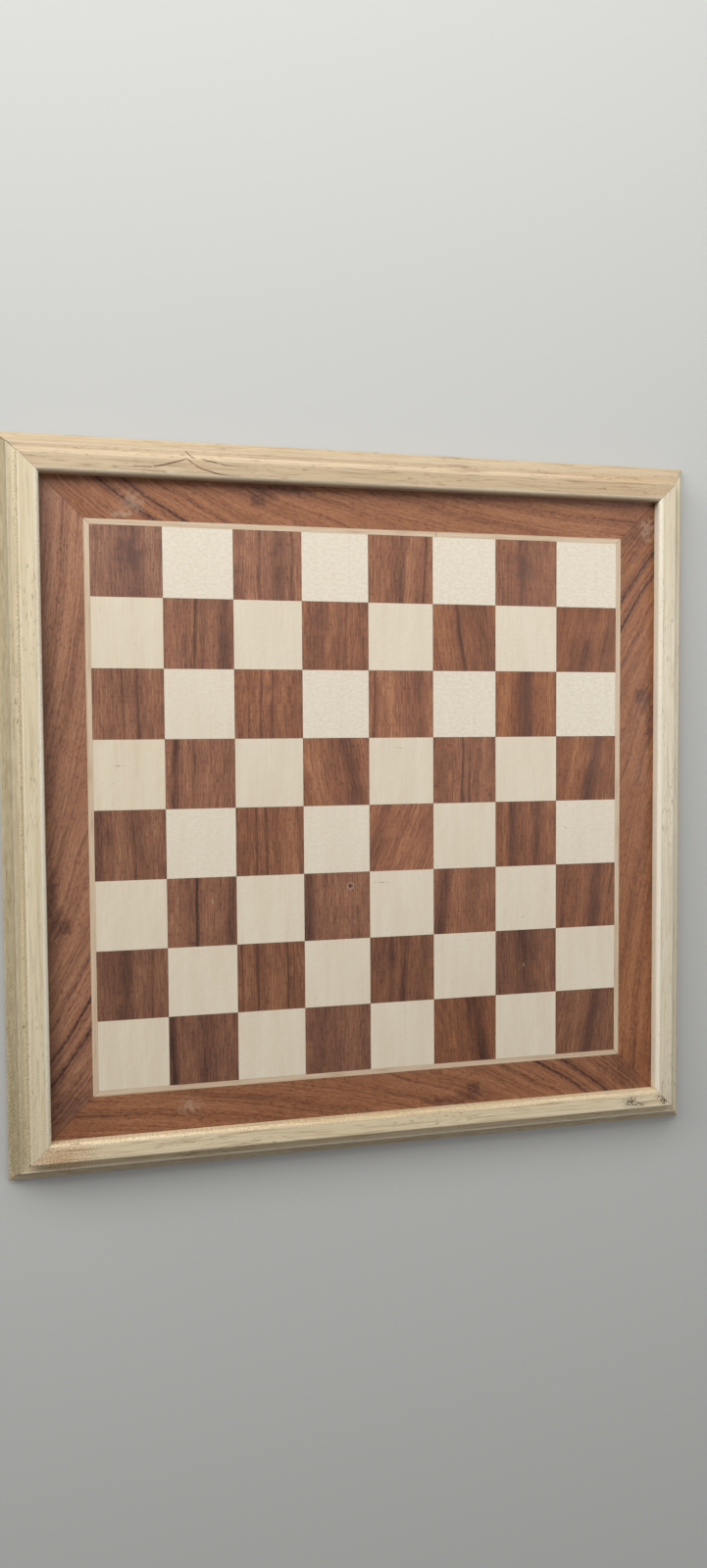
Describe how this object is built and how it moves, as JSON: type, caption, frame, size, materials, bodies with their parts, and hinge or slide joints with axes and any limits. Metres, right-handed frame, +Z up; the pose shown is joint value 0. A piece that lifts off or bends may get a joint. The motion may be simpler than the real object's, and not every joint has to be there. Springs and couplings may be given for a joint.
{
  "type": "chessboard",
  "caption": "Framed wooden chessboard: veneered playing field with inlay line and dark border, recessed in a mitred moulded frame on felt pads.",
  "frame": {"origin": "middle of the footprint, on the surface that the felt pads stand on", "axes": "+Z up out of the playing surface; +X along a file, from the dark first square of file a; +Y from the players' right, file h, to file a"},
  "size_m": [0.4, 0.4, 0.0185],
  "materials": {
    "dark_veneer": "dark brown streaked veneer, satin lacquer",
    "light_veneer": "cream maple veneer, satin lacquer",
    "inlay_veneer": "pinkish cream maple stringing, satin lacquer",
    "border_veneer": "reddish brown figured veneer, satin lacquer",
    "frame_wood": "pale straight-grained moulding, glossy lacquer",
    "core_board": "fibreboard, raw",
    "backing_veneer": "plain balancing veneer, sanded",
    "nail_steel": "bright steel strip",
    "pad_felt": "pressed wool felt"
  },
  "bodies": {
    "root": {"core_panel": "core_board", "backing_veneer": "backing_veneer", "file_a_dark_squares": "dark_veneer", "file_a_light_squares": "light_veneer", "file_b_dark_squares": "dark_veneer", "file_b_light_squares": "light_veneer", "file_c_dark_squares": "dark_veneer", "file_c_light_squares": "light_veneer", "file_d_dark_squares": "dark_veneer", "file_d_light_squares": "light_veneer", "file_e_dark_squares": "dark_veneer", "file_e_light_squares": "light_veneer", "file_f_dark_squares": "dark_veneer", "file_f_light_squares": "light_veneer", "file_g_dark_squares": "dark_veneer", "file_g_light_squares": "light_veneer", "file_h_dark_squares": "dark_veneer", "file_h_light_squares": "light_veneer", "inlay_line_right": "inlay_veneer", "inlay_line_back": "inlay_veneer", "inlay_line_left": "inlay_veneer", "inlay_line_front": "inlay_veneer", "border_veneer_right": "border_veneer", "border_veneer_back": "border_veneer", "border_veneer_left": "border_veneer", "border_veneer_front": "border_veneer", "frame_rail_right": "frame_wood", "frame_rail_back": "frame_wood", "frame_rail_left": "frame_wood", "frame_rail_front": "frame_wood", "mitre_v_nails": "nail_steel", "felt_pads": "pad_felt"}
  },
  "joints": []
}
